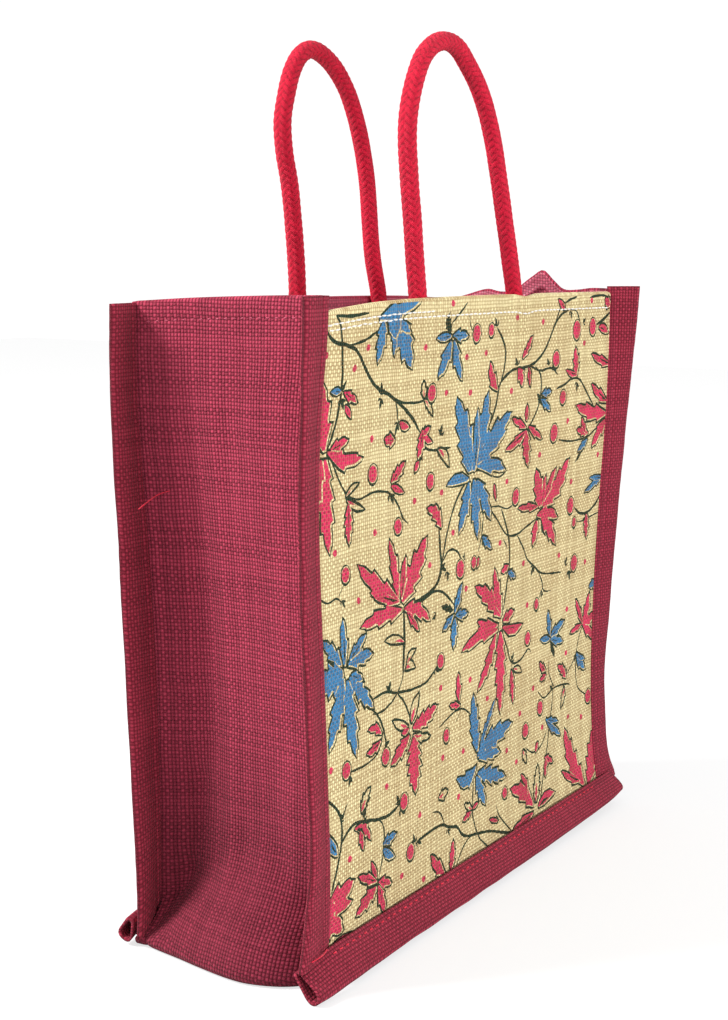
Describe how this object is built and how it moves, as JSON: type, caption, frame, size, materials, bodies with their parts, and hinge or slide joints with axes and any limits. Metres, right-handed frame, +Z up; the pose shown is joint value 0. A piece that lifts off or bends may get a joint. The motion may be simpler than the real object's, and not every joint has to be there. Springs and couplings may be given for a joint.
{
  "type": "burlap bag",
  "caption": "Standing burlap tote bag with a printed front panel, inward-folding gusset sides, bound seams that stand out as fins and braided rope handles.",
  "frame": {"origin": "middle of the whole bag's box, on the surface it stands on", "axes": "+X to the right along the printed front panel, -Y out of the front panel, +Z up"},
  "size_m": [0.3966, 0.144, 0.5021],
  "materials": {
    "maroon_burlap": "coarse plain weave",
    "printed_burlap": "coarse plain weave, screen printed",
    "cotton_rope": "braided matt cotton"
  },
  "bodies": {
    "root": {"gusset": "maroon_burlap", "front_panel": "printed_burlap", "back_panel": "maroon_burlap", "front_left_binding": "maroon_burlap", "front_right_binding": "maroon_burlap", "back_left_binding": "maroon_burlap", "back_right_binding": "maroon_burlap", "front_base_binding": "maroon_burlap", "back_base_binding": "maroon_burlap", "handle_front": "cotton_rope", "handle_back": "cotton_rope"}
  },
  "joints": []
}
